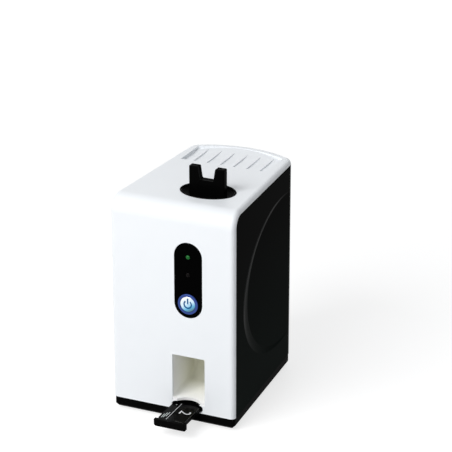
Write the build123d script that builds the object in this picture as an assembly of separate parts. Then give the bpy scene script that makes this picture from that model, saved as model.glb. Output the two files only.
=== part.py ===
from build123d import *
import math
import os

# A desktop scanner for dental phosphor imaging plates, in millimetres.
# The front faces -Y and +Z is up. The origin is on the table plane, below the centre of the
# whole object with its exit tray pulled out. A distance "behind the front" runs along +Y.

# Casing
body_width = 140.6
body_height = 242.5
side_length = 170.0
side_taper_deg = 3.5
rear_corner_r = 14.0
rear_corner_end_deg = 62.0
nose_r = 17.7
edge_r = 5.0
wall = 3.0
seam = 0.3
past = 1.0  # how far a cutting or joining shape runs past the face that it meets

# Base and feet
base_top = 14.0
base_bottom = 2.4
base_inset = 0.5
base_chamfer = 3.0
base_floor = 2.5
base_wall = 2.6
foot_r = 8.5
foot_seat = 0.8
foot_from_edge = 19.0
foot_chamfer = 0.6
base_least_corner_r = 1.0

# Oval hand recess in each side panel
grip_behind_front = 26.5
grip_half_length = 115.7
grip_half_height = 84.5
grip_centre_z = 126.3
grip_depth = 3.2
grip_wall_run = 22.0

# Ribbed recess in the top
shelf_behind_front = 128.5
shelf_half_width = 49.8
shelf_depth = 3.8
shelf_rim = 9.0
shelf_ramp = 30.0
shelf_ramp_step = 0.5
rib_count = 6
rib_pitch = 15.4
rib_width = 1.6
rib_height = 1.4

# Plate path through the machine
path_x = 17.5
path_behind_front = 51.5
path_gap = 2.2
plate_width = 31.0
plate_length = 41.0
plate_thickness = 1.2
plate_corner_r = 3.6

# Plate guide and its oval dish
dish_half_x = 30.4
dish_half_y = 22.5
dish_rim = 1.0
dish_rim_width = 2.2
dish_depth = 4.2
dish_floor = 2.3
dish_slope = 8.0
dish_rim_round = 0.5
dish_collar = 1.5
# The bowl's rise from the edge of its flat floor, outwards and up: its top face, then its underside
dish_rise = ((3.4, 1.1), (5.6, 2.9))
dish_under = ((4.4, 1.8), (1.5, 0.0))
guide_width = 40.0
guide_depth = 8.0
guide_height = 26.7
guide_slot_width = 32.2
guide_slot_gap = 2.2
guide_corner_r = 1.4
guide_top_r = 1.2
notch_corner_r = 1.6
notch_top = 19.6
notch_bottom = 15.4
notch_depth = 14.0
spigot_margin = 1.7
spigot_drop = 2.7
slip = 0.2

# Control panel
fascia_x = 18.4
fascia_r = 15.6
fascia_low_z = 136.6
fascia_high_z = 188.5
fascia_thickness = 2.0
fascia_proud = 0.4
fascia_round = 0.35
ring_r = 11.3
ring_proud = 1.2
cap_r = 8.4
cap_gap = 0.25
cap_travel = 0.8
cap_round = 0.5
cap_hollow = 0.35
cap_hollow_r = 60.0
cap_stem_r = 2.2
ring_sleeve = 1.0
plunger_r = 1.7
plunger_length = 2.2
plunger_proud = 1.0
switch_size = 6.0
switch_depth = 3.0
led_r = 2.2
led_dome = 2.0
led_pitch = 19.6
led_behind_wall = 1.0
board_thickness = 1.6
board_behind_fascia = 12.0
panel_post_x = 13.0
panel_post_below = 24.0
panel_post_above = 18.0
panel_board_edge = 5.0
post_bore_depth = 6.0
screw_end_gap = 1.0

# Output chute
chute_x = 17.95
chute_width = 37.1
chute_top_z = 76.4
chute_back = 55.0
chute_wall = 2.0
chute_floor_rear_z = 29.0
chute_floor_front_z = 25.4
chute_bend_r = 13.0
chute_round = 4.0
scallop_width = 27.0
scallop_depth = 7.0
chute_lip_back = 0.4
window_round = 1.2
chute_drop_margin = 1.5

# Exit tray
tray_x = 15.4
tray_reach = 41.0
tray_travel = 37.5
tray_floor_z = 16.1
tray_floor = 2.4
tray_width = 31.6
tray_inside = 14.0
tray_ear = 1.8
tray_ear_length = 6.0
lip_width = 36.6
lip_thickness = 3.0
lip_drop = 4.3
lip_rise = 1.5
slot_low_x = -1.6
slot_high_x = 34.3
slot_top_z = 22.8
slot_end_r = 4.2
run_gap = 0.3
rail_wall = 2.0
rail_floor = 2.4
rail_gap = 0.4
rail_end = 3.0
rail_post_inset = 8.0
lip_low_round = 2.6
lip_high_round = 1.0

# Transport unit, with its heights measured down from the casing's top
frame_half_width = 26.0
frame_sheet = 1.5
frame_front = 26.0
frame_rear = 26.0
frame_arm = 79.0
frame_arm_round = 6.0
frame_drop = 11.5
frame_arm_below_scan = 21.0
frame_window = (28.0, 44.0, 30.0)
sheet_foot = 9.0
sheet_foot_lift = 3.0
guide_sheet = 1.2
guide_drop = 17.5
guide_flare = 3.5
guide_window_side = 1.0
guide_above_chute = 5.6
nip_drops = (28.5, 58.5, 88.5)
drive_r = 7.0
pinch_r = 5.0
nip_gap = 0.3
sleeve_length = 34.0
sleeve_round = 0.5
shaft_r = 2.5
shaft_fit = 0.05
shaft_round = 0.3
shaft_end = 2.0
shaft_proud = 1.0
bush_r = 4.5
bush_flange_r = 6.0
pinch_flange_r = 5.0
bush_flange = 1.0
pulley_r = 6.0
pulley_flange_r = 7.6
pulley_width = 6.0
pulley_flange = 0.8
motor_pulley_r = 4.5
belt_thickness = 1.2
belt_gap = 0.2
belt_side_gap = 0.3
tie_r = 3.0
tie_in = 7.0
tie_above_path_end = 12.0
tie_drop = 19.5

# Stepper motor
motor_size = 35.0
motor_length = 26.0
motor_behind_nip = 46.0
motor_corner_r = 4.0
motor_shaft_r = 2.5
motor_boss_r = 11.0
motor_boss = 1.5
motor_hole_pitch = 26.0
motor_bore = 8.0
motor_bore_end_gap = 1.0

# Scanning optics
scan_drop = 73.5
scan_slit = 7.5
bench_thickness = 4.0
bench_start = 18.5
bench_length = 88.0
bench_below_mirror = 9.0
bench_round = 8.0
bench_rib = 3.0
bench_rib_in = 4.0
mirror_behind_path = 84.0
mirror_r = 11.0
mirror_sides = 6
mirror_thickness = 5.0
mirror_hub_r = 6.0
mirror_hub = 1.6
mirror_bore = 2.0
mirror_above_motor = 1.2
spindle_proud = 1.0
motor_card_margin = 2.5
stator_r = 10.0
laser_size = (11.2, 20.0, 12.0)
laser_from_mirror = 3.5
laser_flange = (5.0, 2.5)
collimator_r = 2.9
collimator_length = 5.0
collimator_proud = 1.0
lens_behind_path = 58.0
lens_width = 40.0
lens_height = 9.0
lens_edge = 2.5
lens_thickness = 6.0
detector_r = 9.0
detector_cap = 1.0
detector_cap_length = 6.0
detector_drop = 55.5
detector_length = 40.0
detector_behind_path = 42.0
collector_thickness = 4.0
collector_above_scan = 2.5
collector_end = 12.6
cradle_behind = 3.0
cradle_thickness = 6.0
cradle_leg = 4.0
cradle_below_axis = 1.0
erase_drop = 109.5
erase_slit = 8.0
erase_board = 12.0
erase_lamps = 5
erase_pitch = 7.1
erase_lamp = 4.0
erase_lamp_height = 2.0
erase_lamp_gap = 3.0

# Electronics
main_board_size = (84.0, 90.6)
main_board_from_side = 4.6
main_board_behind_front = 84.0
main_board_hole_in = 5.0
main_board_rear_hole_in = 14.0
standoff = 12.0
standoff_r = 3.0
screw_r = 1.5
screw_head_r = 2.8
screw_head = 2.0
screw_slack = 0.05
boss_height = 3.0
# Each chip: left edge, front edge, width, depth and height, from the board's corner
chips = (
    (34.0, 34.0, 16.0, 16.0, 1.6),
    (14.0, 30.0, 10.0, 8.0, 1.4),
    (60.0, 36.0, 12.0, 8.0, 1.4),
    (12.0, 50.0, 12.0, 10.0, 9.0),
    (18.0, 4.0, 12.0, 6.0, 7.0),
    (36.0, 4.0, 12.0, 6.0, 7.0),
    (54.0, 4.0, 12.0, 6.0, 7.0),
)
# Each capacitor: centre, radius and height, from the board's corner
capacitors = ((70.0, 64.0, 5.0, 14.0), (57.0, 66.0, 4.0, 12.0))
socket_pad_behind_front = 178.0
socket_pad_half_width = 17.0
socket_pad_height = 15.0
socket_pad_lift = 2.5
usb_from_board_edge = 29.0
usb_size = (12.0, 16.0, 10.8)
usb_shell = 1.5
usb_tongue = (5.6, 3.2)
socket_back = 2.5
jack_from_board_edge = 12.0
jack_size = (10.0, 14.0, 11.0)
jack_bore_r = 3.2
jack_pin_r = 1.0
vent_count = 8
vent_pitch = 6.5
vent_slot = 2.6
vent_width = 56.0
vent_low_z = 150.0

# Values worked out from the sizes above
taper = math.radians(side_taper_deg)
corner_end = math.radians(rear_corner_end_deg)


def side_x(behind, inset=0.0):
    """Half width of the casing at a distance behind the front face."""
    return body_width / 2 - behind * math.tan(taper) - inset / math.cos(taper)


corner_x = side_x(side_length) - rear_corner_r * math.cos(taper)
corner_behind = side_length - rear_corner_r * math.sin(taper)
rear_r = corner_x / math.cos(corner_end) + rear_corner_r
rear_behind = corner_behind + (rear_corner_r - rear_r) * math.sin(corner_end)
body_depth = rear_behind + rear_r
front_y = tray_reach - (tray_reach + body_depth) / 2
path_y = front_y + path_behind_front
floor_z = base_bottom + base_floor
tray_top = tray_floor_z + tray_floor
drive_y = path_y + drive_r + nip_gap / 2
pinch_y = path_y - pinch_r - nip_gap / 2
motor_y = drive_y + motor_behind_nip
nip_zs = [body_height - drop for drop in nip_drops]
motor_z = nip_zs[0]
left_frame_x = path_x - frame_half_width - frame_sheet
right_frame_x = path_x + frame_half_width
pulley_x = left_frame_x - bush_flange - run_gap - pulley_width
board_y = front_y + fascia_thickness + board_behind_fascia
led_zs = (fascia_high_z, fascia_high_z - led_pitch)
panel_post_zs = (fascia_low_z - panel_post_below, fascia_high_z + panel_post_above)
ring_seat_r = cap_r + cap_gap + ring_sleeve
switch_y = board_y - switch_depth - run_gap
lip_back_y = front_y - tray_reach + lip_thickness
scan_z = body_height - scan_drop
bench_z = scan_z - mirror_thickness / 2 - bench_below_mirror
detector_z = body_height - detector_drop
erase_z = body_height - erase_drop
frame_top_z = body_height - frame_drop
frame_arm_z = scan_z - frame_arm_below_scan
path_low_z = chute_top_z + chute_wall + guide_above_chute
main_board_rear = main_board_behind_front + main_board_size[1]
main_board_x = main_board_from_side - side_x(main_board_rear, wall)
usb_x = main_board_x + usb_from_board_edge
jack_x = main_board_x + jack_from_board_edge
PARTS = {}


# Simple solids
def box(x0, x1, y0, y1, z0, z1):
    centre = Pos((x0 + x1) / 2, (y0 + y1) / 2, (z0 + z1) / 2)
    return centre * Box(x1 - x0, y1 - y0, z1 - z0)


def rod_x(x0, x1, y, z, r):
    return Pos((x0 + x1) / 2, y, z) * (Rot(0, 90, 0) * Cylinder(r, x1 - x0))


def rod_y(x, y0, y1, z, r):
    return Pos(x, (y0 + y1) / 2, z) * (Rot(90, 0, 0) * Cylinder(r, y1 - y0))


def rod_z(x, y, z0, z1, r):
    return Pos(x, y, (z0 + z1) / 2) * Cylinder(r, z1 - z0)


def round_edges(solid, radius, axis):
    return fillet(solid.edges().filter_by(axis), radius)


def in_side_view(points, x0, x1):
    """A prism along X whose section is a polygon of (y, z) points."""
    face = Plane.YZ * make_face(Polyline(*points, close=True))
    return Pos(x0, 0, 0) * extrude(face, amount=x1 - x0)


def stadium_y(x, z0, z1, r, y0, y1):
    """An upright slot shape, round at both ends, along Y."""
    return box(x - r, x + r, y0, y1, z0, z1) + rod_y(x, y0, y1, z0, r) + rod_y(x, y0, y1, z1, r)


# Casing outline
def plan_face(inset):
    """The casing seen from above: tapered sides, rounded corners and a bowed rear."""
    r = rear_corner_r - inset
    low = (side_x(inset, inset), front_y + inset)
    mid_angle = (taper + corner_end) / 2
    start, middle, end = [
        (corner_x + r * math.cos(a), front_y + corner_behind + r * math.sin(a))
        for a in (taper, mid_angle, corner_end)
    ]
    apex = (0, front_y + body_depth - inset)

    def mirror_point(p):
        return (-p[0], p[1])

    edges = [
        Line(mirror_point(low), low),
        Line(low, start),
        ThreePointArc(start, middle, end),
        ThreePointArc(end, apex, mirror_point(end)),
        ThreePointArc(mirror_point(end), mirror_point(middle), mirror_point(start)),
        Line(mirror_point(start), mirror_point(low)),
    ]
    return make_face(edges)


def body_form(inset, z0):
    """The casing's outer form, or its inside when inset by the wall."""
    top = body_height - inset
    form = extrude(Pos(0, 0, z0) * plan_face(inset), amount=top - z0)
    nose = form.edges().filter_by(Axis.X).group_by(Axis.Z)[-1].sort_by(Axis.Y)[0]
    form = fillet(nose, nose_r - inset)
    uprights = form.edges().filter_by(Axis.Z).group_by(Axis.Y)[0]
    return fillet(uprights, edge_r - inset)


def skirt_prism(gap):
    """What lies inside the cover's rounded edge: the side panels and the rear panel."""
    far = body_width
    front = front_y + edge_r + gap
    top = body_height - edge_r - gap
    prism = box(-far, far, front, front_y + body_depth + far, base_top - past, top)
    nose = prism.edges().filter_by(Axis.X).group_by(Axis.Z)[-1].sort_by(Axis.Y)[0]
    return fillet(nose, nose_r - edge_r)


def dish_oval(half_x, z):
    return Pos(path_x, path_y, z) * Ellipse(half_x, half_x * dish_half_y / dish_half_x)


# Front and top cover
def shelf_cut():
    """The recess in the top, whose floor sweeps up to the rear rim."""
    y0 = front_y + shelf_behind_front
    y1 = front_y + body_depth - shelf_rim
    floor = body_height - shelf_depth
    rise = shelf_depth - shelf_ramp_step
    bend_r = (shelf_ramp**2 + rise**2) / (2 * rise)
    half_turn = math.asin(shelf_ramp / bend_r) / 2
    mid = (
        y1 - shelf_ramp + bend_r * math.sin(half_turn),
        floor + bend_r * (1 - math.cos(half_turn)),
    )
    ramp_end = (y1, floor + rise)
    above = body_height + past
    edges = [
        Line((y0, above), (y0, floor)),
        Line((y0, floor), (y1 - shelf_ramp, floor)),
        ThreePointArc((y1 - shelf_ramp, floor), mid, ramp_end),
        Line(ramp_end, (y1, above)),
        Line((y1, above), (y0, above)),
    ]
    profile = Plane.YZ * make_face(edges)
    cut = Pos(-shelf_half_width, 0, 0) * extrude(profile, amount=2 * shelf_half_width)
    plan = extrude(Pos(0, 0, floor - past) * plan_face(shelf_rim), amount=shelf_depth + 3)
    return cut & plan


def shelf_pan():
    """The material under the recess, which keeps the wall at its full thickness."""
    y0 = front_y + shelf_behind_front - wall
    z0 = body_height - shelf_depth - wall
    x = shelf_half_width + wall
    z1 = body_height - wall + slip
    block = box(-x, x, y0, front_y + body_depth, z0, z1)
    return block & extrude(Pos(0, 0, z0 - past) * plan_face(shelf_rim - wall), amount=z1 - z0 + 2)


def shelf_ribs(cut):
    y0 = front_y + shelf_behind_front
    y1 = front_y + body_depth
    floor = body_height - shelf_depth
    ribs = []
    for i in range(rib_count):
        x = (i - (rib_count - 1) / 2) * rib_pitch
        rib = box(x - rib_width / 2, x + rib_width / 2, y0, y1, floor - past, floor + rib_height)
        ribs.append(rib & cut)
    return ribs


def tray_slot_cut():
    x0, x1 = slot_low_x, slot_high_x
    z0 = slot_top_z - 2 * slot_end_r
    block = box(x0, x1, front_y - past, front_y + wall + past, z0, slot_top_z)
    block = round_edges(block, slot_end_r - 0.01, Axis.Y)
    x0, x1 = x0 + slot_end_r, x1 - slot_end_r
    z1 = slot_top_z - slot_end_r
    return block + box(x0, x1, front_y - past, front_y + wall + past, base_top - past, z1)


def chute_window():
    x0 = chute_x - chute_width / 2
    x1 = chute_x + chute_width / 2
    window = box(x0, x1, front_y - past, front_y + wall + past, slot_top_z, chute_top_z)
    top_edges = window.edges().filter_by(Axis.Y).group_by(Axis.Z)[-1]
    return fillet(top_edges, window_round)


def make_cover():
    cover = body_form(0, base_top) - body_form(wall, base_top - past) - skirt_prism(0)
    cut = shelf_cut()
    cover = cover + shelf_pan() - cut + shelf_ribs(cut)
    r = fascia_r + slip
    seat = fascia_thickness - fascia_proud
    cover -= stadium_y(fascia_x, fascia_low_z, fascia_high_z, r, front_y - past, front_y + seat)
    cover -= rod_y(fascia_x, front_y - past, front_y + wall + past, fascia_low_z, ring_seat_r + slip)
    for z in led_zs:
        cover -= rod_y(fascia_x, front_y - past, front_y + wall + past, z, led_r + slip)
    cover -= tray_slot_cut() + chute_window()
    hole_r = dish_half_x - dish_rim_width
    cover -= extrude(dish_oval(hole_r, body_height - wall - past), amount=wall + 3)
    for x, z in panel_posts():
        post = rod_y(x, front_y + wall - slip, board_y, z, standoff_r)
        cover += post - rod_y(x, board_y - post_bore_depth, board_y + past, z, screw_r)
    return cover


# Side and rear panels
def side_plane(side):
    """A plane on the casing's side: x runs to the rear, z out of the side."""
    out = (side * math.cos(taper), math.sin(taper), 0)
    back = (-side * math.sin(taper), math.cos(taper), 0)
    return Plane(origin=(side * body_width / 2, front_y, 0), x_dir=back, z_dir=out)


def grip_form(side, lift):
    """The oval recess, or with a lift below zero the same form behind it, which keeps the wall.

    The wall curves in to a floor that comes back up to the panel at its rear end.
    """
    bend_r = (grip_wall_run**2 + grip_depth**2) / (2 * grip_depth)
    half_turn = math.asin(grip_wall_run / bend_r) / 2
    flat_r = grip_half_height - grip_wall_run
    mid = (
        flat_r + bend_r * math.sin(half_turn),
        bend_r * (1 - math.cos(half_turn)) - grip_depth,
    )
    edges = [
        Line((0, past), (0, -grip_depth)),
        Line((0, -grip_depth), (flat_r, -grip_depth)),
        ThreePointArc((flat_r, -grip_depth), mid, (grip_half_height, 0)),
        Line((grip_half_height, 0), (grip_half_height, past)),
        Line((grip_half_height, past), (0, past)),
    ]
    turned = revolve(Plane.XZ * make_face(edges), Axis.Z)
    up = 1 if side > 0 else -1
    place = Pos(grip_behind_front + grip_half_length, up * grip_centre_z, 0)
    oval = place * scale(turned, by=(grip_half_length / grip_half_height, 1, 1))
    end = side_length / math.cos(taper)
    tilt = math.degrees(math.atan2(grip_depth, end - grip_behind_front))
    size = 2 * body_height
    above = Pos(0, up * body_height / 2, size / 2) * Box(size, size, size)
    form = oval & (Pos(end, 0, 0) * Rot(0, -tilt, 0) * above)
    return side_plane(side) * (Pos(0, 0, lift) * form)


def make_side_panel(skirt, side):
    limit = front_y + side_length - seam / 2
    x0, x1 = sorted((0, side * body_width))
    half = box(x0, x1, front_y, limit, base_top - past, body_height)
    backing = grip_form(side, -wall) & half & skirt_prism(seam + wall)
    return (skirt & half) + backing - grip_form(side, 0)


def make_rear_panel(skirt):
    y0 = front_y + side_length + seam / 2
    y1 = front_y + body_depth + past
    panel = skirt & box(-body_width, body_width, y0, y1, base_top - past, body_height)
    pad_y = front_y + socket_pad_behind_front
    x = (usb_x + jack_x) / 2
    x0, x1 = x - socket_pad_half_width, x + socket_pad_half_width
    z0 = base_top + socket_pad_lift
    z1 = z0 + socket_pad_height
    frame = box(x0 - wall, x1 + wall, pad_y - wall, y1, base_top, z1 + wall) & body_form(0, base_top)
    panel = panel + frame - box(x0, x1, pad_y, y1, z0, z1)
    for x, size in ((usb_x, usb_size), (jack_x, jack_size)):
        half = size[0] / 2 + slip
        low, high = board_top() - slip, board_top() + size[2] + slip
        panel -= box(x - half, x + half, pad_y - wall - past, pad_y + past, low, high)
    for i in range(vent_count):
        z = vent_low_z + i * vent_pitch
        slot = box(-vent_width / 2, vent_width / 2, y0, y1, z - vent_slot / 2, z + vent_slot / 2)
        panel -= round_edges(slot, vent_slot / 2 - 0.01, Axis.Y)
    return panel


# Base
def foot_places():
    front = front_y + foot_from_edge
    rear = front_y + side_length - foot_from_edge / 2
    spots = []
    for y in (front, rear):
        x = side_x(y - front_y) - foot_from_edge
        spots += [(x, y), (-x, y)]
    return spots


def base_block(inset, z0, z1):
    """The casing outline inset by a distance, with its two front corners rounded."""
    block = extrude(Pos(0, 0, z0) * plan_face(inset), amount=z1 - z0)
    uprights = block.edges().filter_by(Axis.Z).group_by(Axis.Y)[0]
    return fillet(uprights, max(edge_r - inset, base_least_corner_r))


def make_base():
    outer = base_block(base_inset, base_bottom, base_top)
    outer = chamfer(outer.faces().sort_by(Axis.Z)[0].edges(), base_chamfer)
    inset = base_inset + base_wall
    upper = base_block(inset, base_bottom + base_chamfer + base_wall, base_top + past)
    lower = base_block(inset + base_chamfer, floor_z, base_top)
    base = outer - upper - lower
    for x, y in foot_places():
        base -= rod_z(x, y, base_bottom - past, base_bottom + foot_seat, foot_r + slip)
    for x, y in sheet_foot_screws():
        boss = rod_z(x, y, floor_z - slip, floor_z + boss_height, standoff_r)
        base = base + boss - rod_z(x, y, floor_z, floor_z + boss_height + past, screw_r)
    return base


def make_feet():
    feet = []
    for x, y in foot_places():
        foot = rod_z(x, y, 0, base_bottom + foot_seat, foot_r)
        feet.append(chamfer(foot.edges().sort_by(Axis.Z)[0], foot_chamfer))
    return feet


# Plate guide on the top
def oval_turning(points):
    """A solid turned from (radius, z) points, then squeezed to the dish's oval."""
    face = Plane.XZ * make_face(Polyline(*points, close=True))
    turned = revolve(face, Axis.Z)
    return Pos(path_x, path_y, 0) * scale(turned, by=(1, dish_half_y / dish_half_x, 1))


def make_dish():
    top = body_height + dish_rim
    low = body_height - dish_depth
    rim_in = dish_half_x - dish_rim_width
    flat = dish_half_x - dish_slope
    break_r = dish_rim_round
    under = low - dish_floor
    points = [(0, low), (flat, low)]
    points += [(flat + out, low + rise) for out, rise in dish_rise]
    points += [
        (rim_in + break_r, top - break_r / 2),
        (rim_in + 2 * break_r, top),
        (dish_half_x - break_r, top),
        (dish_half_x, top - break_r),
        (dish_half_x, body_height),
        (rim_in - slip, body_height),
        (rim_in - slip, body_height - dish_collar),
    ]
    points += [(flat + out, under + rise) for out, rise in dish_under]
    points.append((0, under))
    dish = oval_turning(points)
    x = guide_slot_width / 2 + spigot_margin + slip
    y = guide_slot_gap / 2 + spigot_margin + slip
    return dish - box(path_x - x, path_x + x, path_y - y, path_y + y, under - past, top)


def notch_cut(z_top):
    z0 = z_top - notch_depth
    y0 = path_y - guide_depth
    points = [
        (path_x - notch_bottom / 2, z0),
        (path_x + notch_bottom / 2, z0),
        (path_x + notch_top / 2, z_top),
        (path_x - notch_top / 2, z_top),
    ]
    face = Plane(origin=(0, y0, 0), x_dir=(1, 0, 0), z_dir=(0, -1, 0)) * make_face(
        Polyline(*points, close=True)
    )
    cut = extrude(face, amount=-2 * guide_depth)
    low = cut.edges().filter_by(Axis.Y).group_by(Axis.Z)[0]
    return fillet(low, notch_corner_r)


def make_guide():
    z0 = body_height - dish_depth
    z1 = body_height + guide_height
    x = guide_width / 2
    y = guide_depth / 2
    block = box(path_x - x, path_x + x, path_y - y, path_y + y, z0, z1)
    block = round_edges(block, guide_corner_r, Axis.Z)
    block -= notch_cut(z1)
    tops = block.edges().filter_by(Axis.Y).group_by(Axis.Z)[-1]
    block = fillet(tops, guide_top_r)
    x = guide_slot_width / 2 + spigot_margin
    y = guide_slot_gap / 2 + spigot_margin
    z = z0 - dish_floor - spigot_drop
    block += box(path_x - x, path_x + x, path_y - y, path_y + y, z, z0)
    x = guide_slot_width / 2
    y = guide_slot_gap / 2
    return block - box(path_x - x, path_x + x, path_y - y, path_y + y, z - past, z1 + past)


# Control panel
def panel_posts():
    return [(fascia_x + dx, z) for dx in (-panel_post_x, panel_post_x) for z in panel_post_zs]


def make_fascia():
    y0 = front_y - fascia_proud
    y1 = y0 + fascia_thickness
    plate = stadium_y(fascia_x, fascia_low_z, fascia_high_z, fascia_r, y0, y1)
    rim = plate.faces().sort_by(Axis.Y)[0].edges()
    plate = fillet(rim, fascia_round)
    plate -= rod_y(fascia_x, y0 - past, y1 + past, fascia_low_z, ring_seat_r)
    for z in led_zs:
        plate -= rod_y(fascia_x, y0 - past, y1 + past, z, led_r + slip)
    return plate


def make_ring():
    """The light ring: a flange on the fascia and a sleeve through the wall for the cap."""
    y0 = front_y - fascia_proud
    y1 = front_y + wall + ring_sleeve
    flange = rod_y(fascia_x, y0 - ring_proud, y0, fascia_low_z, ring_r)
    flange = fillet(flange.edges().sort_by(Axis.Y)[0], ring_proud * 0.6)
    sleeve = rod_y(fascia_x, y0 - slip, y1, fascia_low_z, ring_seat_r - slip / 2)
    bore = rod_y(fascia_x, y0 - ring_proud - past, y1 + past, fascia_low_z, cap_r + cap_gap)
    return flange + sleeve - bore


def make_cap():
    """The button: a dished cap on a stem that reaches the switch's plunger."""
    y0 = front_y - fascia_proud - ring_proud
    y1 = front_y + wall
    cap = rod_y(fascia_x, y0, y1, fascia_low_z, cap_r)
    cap = fillet(cap.edges().sort_by(Axis.Y)[0], cap_round)
    cap -= Pos(fascia_x, y0 - cap_hollow_r + cap_hollow, fascia_low_z) * Sphere(cap_hollow_r)
    return cap + rod_y(fascia_x, y1 - slip, switch_y - plunger_proud, fascia_low_z, cap_stem_r)


def make_plunger():
    y0 = switch_y - plunger_proud
    return rod_y(fascia_x, y0, y0 + plunger_length, fascia_low_z, plunger_r)


def make_switch():
    half = switch_size / 2
    body = box(fascia_x - half, fascia_x + half, switch_y, board_y, fascia_low_z - half, fascia_low_z + half)
    depth = plunger_length - plunger_proud + cap_travel + slip
    return body - rod_y(fascia_x, switch_y - past, switch_y + depth, fascia_low_z, plunger_r + slip)


def make_led(z):
    """A lamp with a domed lens in the fascia and a light pipe back to the board."""
    y0 = front_y - fascia_proud
    y1 = front_y + wall + led_behind_wall
    lens = rod_y(fascia_x, y0, y1, z, led_r)
    dome = Pos(fascia_x, y0 + led_dome, z) * Sphere(math.hypot(led_r, led_dome))
    dome = dome & rod_y(fascia_x, y0 - led_dome, y0 + slip, z, led_r)
    return lens + dome + rod_y(fascia_x, y1, board_y, z, led_r / 2)


def make_panel_board():
    z0 = panel_post_zs[0] - panel_board_edge
    z1 = panel_post_zs[1] + panel_board_edge
    half = panel_post_x + panel_board_edge
    y1 = board_y + board_thickness
    board = box(fascia_x - half, fascia_x + half, board_y, y1, z0, z1)
    for x, z in panel_posts():
        board -= rod_y(x, board_y - past, y1 + past, z, screw_r + slip)
    return board


def make_panel_screws():
    screws = []
    y = board_y + board_thickness
    for x, z in panel_posts():
        shank = rod_y(x, board_y - post_bore_depth + screw_end_gap, y, z, screw_r - screw_slack)
        screws.append(shank + rod_y(x, y, y + screw_head, z, screw_head_r))
    return screws


# Output chute
def make_chute():
    half = chute_width / 2
    x0, x1 = chute_x - half, chute_x + half
    y0 = front_y + wall
    y_back = front_y + chute_back
    z0, z1 = slot_top_z, chute_top_z
    outer = box(x0 - chute_wall, x1 + chute_wall, y0, y_back + chute_wall, z0, z1 + chute_wall)
    lip_y = front_y + chute_lip_back
    tongue = box(x0 + slip / 2, x1 - slip / 2, lip_y, y0 + past, z0, chute_floor_rear_z)
    bend_y = y_back - chute_bend_r
    slope = (chute_floor_rear_z - chute_floor_front_z) / (bend_y - front_y)
    before = front_y - past
    low = chute_floor_front_z - past * slope
    side = chute_bend_r * (1 - math.sqrt(0.5))
    mid = (y_back - side, chute_floor_rear_z + side)
    edges = [
        Line((before, z1), (before, low)),
        Line((before, low), (bend_y, chute_floor_rear_z)),
        ThreePointArc((bend_y, chute_floor_rear_z), mid, (y_back, chute_floor_rear_z + chute_bend_r)),
        Line((y_back, chute_floor_rear_z + chute_bend_r), (y_back, z1)),
        Line((y_back, z1), (before, z1)),
    ]
    hollow = Pos(x0, 0, 0) * extrude(Plane.YZ * make_face(edges), amount=chute_width)
    corners = hollow.edges().filter_by(lambda e: e.geom_type == GeomType.CIRCLE)
    hollow = fillet(corners, chute_round)
    liner = outer + tongue - hollow
    arc_r = ((scallop_width / 2) ** 2 + scallop_depth**2) / (2 * scallop_depth)
    liner -= rod_z(chute_x, lip_y + scallop_depth - arc_r, z0 - past, chute_floor_rear_z + past, arc_r)
    x = guide_slot_width / 2 + chute_drop_margin
    y0, y1 = path_y - path_gap, path_y + path_gap
    return liner - box(path_x - x, path_x + x, y0, y1, z1 - past, z1 + chute_wall + past)


# Exit tray and its rails
def make_tray():
    x = tray_width / 2
    rear = front_y + tray_inside
    floor = box(tray_x - x, tray_x + x, lip_back_y - past, rear, tray_floor_z, tray_top)
    ears = box(
        tray_x - x - tray_ear, tray_x + x + tray_ear, rear - tray_ear_length, rear, tray_floor_z, tray_top
    )
    z0 = tray_floor_z - lip_drop
    z1 = tray_top + lip_rise
    half = lip_width / 2
    lip = box(tray_x - half, tray_x + half, lip_back_y - lip_thickness, lip_back_y, z0, z1)
    corners = lip.edges().filter_by(Axis.Y)
    lip = fillet(corners.group_by(Axis.Z)[0], lip_low_round)
    lip = fillet(lip.edges().filter_by(Axis.Y).group_by(Axis.Z)[-1], lip_high_round)
    front = lip.faces().sort_by(Axis.Y)[0].edges()
    return fillet(front, lip_high_round / 2) + floor + ears


def make_tray_rails():
    half = tray_width / 2 + run_gap
    groove = half + tray_ear
    y0 = front_y + wall + run_gap
    stop = front_y + tray_inside - tray_ear_length - run_gap
    y1 = front_y + tray_inside + tray_travel + rail_end
    y_end = y1 - rail_wall
    z0 = tray_floor_z - rail_floor
    z1 = slot_top_z - rail_gap
    outside = groove + rail_wall
    block = box(tray_x - outside, tray_x + outside, y0, y1, z0, z1)
    block -= box(tray_x - half, tray_x + half, y0 - past, y_end, tray_floor_z, z1 + past)
    block -= box(tray_x - groove, tray_x + groove, stop, y_end, tray_floor_z, tray_top + run_gap)
    for x in (tray_x - half, tray_x + half):
        for y in (y0 + rail_post_inset, y1 - rail_post_inset):
            block += rod_z(x, y, floor_z, z0 + slip, standoff_r)
    return block


def make_plate():
    x = plate_width / 2
    y0 = lip_back_y + slip
    plate = box(tray_x - x, tray_x + x, y0, y0 + plate_length, tray_top, tray_top + plate_thickness)
    return round_edges(plate, plate_corner_r, Axis.Z)


# Transport unit
def tie_places():
    low, high = path_low_z + tie_above_path_end, body_height - tie_drop
    front, rear = path_y - frame_front + tie_in, path_y + frame_rear - tie_in
    return [(front, low), (rear, low), (front, high)]


def sheet_foot_screws():
    x0 = left_frame_x - sheet_foot / 2
    x1 = right_frame_x + frame_sheet + sheet_foot / 2
    front, rear = path_y - frame_front / 2, path_y + frame_rear / 2
    return [(x, y) for x in (x0, x1) for y in (front, rear)]


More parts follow.
